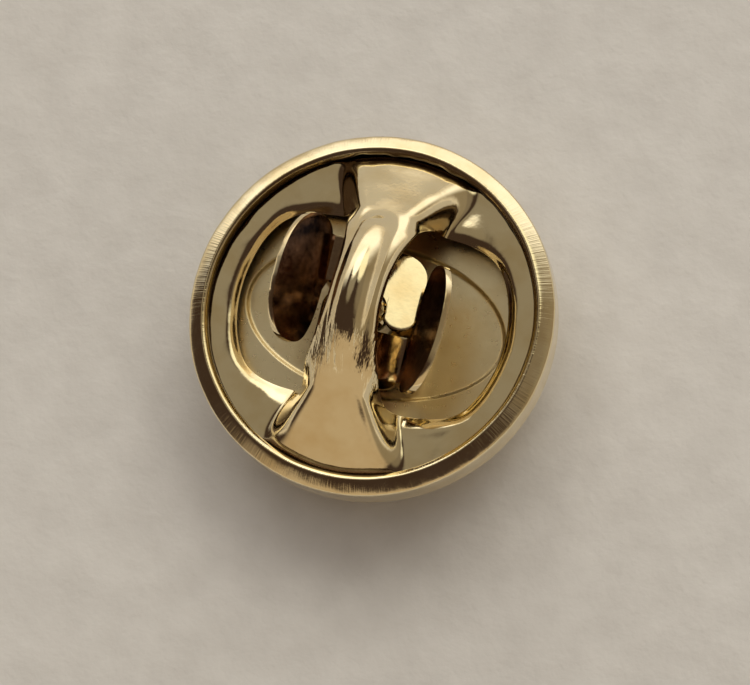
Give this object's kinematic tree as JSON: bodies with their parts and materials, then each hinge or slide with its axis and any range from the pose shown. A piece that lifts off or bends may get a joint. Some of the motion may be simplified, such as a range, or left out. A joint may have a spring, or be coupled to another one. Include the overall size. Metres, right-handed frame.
{
  "type": "enamel pin with butterfly clutch",
  "caption": "Small round hard-enamel lapel pin on a pointed post, held by a gold-plated butterfly clutch with a bridge and sprung squeeze wings.",
  "frame": {"origin": "centre of the badge's enamelled front, on which the pin lies", "axes": "+Z along the post from the badge towards the clutch, +Y along the clutch's bridge, +X towards its right wing"},
  "size_m": [0.0116, 0.0116, 0.0068],
  "materials": {
    "gold_plate": "polished gold plate",
    "spring_bronze": "polished gold plate on spring bronze",
    "silver_solder": "dull solder",
    "yellow_enamel": "glossy fired enamel",
    "white_enamel": "glossy fired enamel",
    "blue_enamel": "glossy fired enamel"
  },
  "bodies": {
    "badge": {"badge_base": "gold_plate", "post": "gold_plate", "post_solder": "silver_solder", "enamel_centre": "yellow_enamel", "enamel_petal_1": "white_enamel", "enamel_petal_2": "white_enamel", "enamel_petal_3": "white_enamel", "enamel_petal_4": "white_enamel", "enamel_petal_5": "white_enamel", "enamel_petal_6": "white_enamel", "enamel_field_1": "blue_enamel", "enamel_field_2": "blue_enamel", "enamel_field_3": "blue_enamel", "enamel_field_4": "blue_enamel", "enamel_field_5": "blue_enamel", "enamel_field_6": "blue_enamel"},
    "clutch": {"clutch_base": "gold_plate", "clutch_cap": "gold_plate", "spring_leaf": "spring_bronze"},
    "left_wing": {"left_wing": "spring_bronze"},
    "right_wing": {"right_wing": "spring_bronze"}
  },
  "joints": [
    {"name": "clutch_slide", "type": "slide", "parent": "badge", "child": "clutch", "axis": [0, 0, 1], "range_m": [0, 0.0065]},
    {"name": "left_wing_squeeze", "type": "hinge", "parent": "clutch", "child": "left_wing", "pos_m": [-0.0015, 0, 0.00277], "axis": [0, 1, 0], "range_deg": [0, 8], "stiffness_Nm_per_rad": 0.03, "springref_deg": -1.72},
    {"name": "right_wing_squeeze", "type": "hinge", "parent": "clutch", "child": "right_wing", "pos_m": [0.0015, 0, 0.00277], "axis": [0, -1, 0], "range_deg": [0, 8], "stiffness_Nm_per_rad": 0.03, "springref_deg": -1.72}
  ]
}
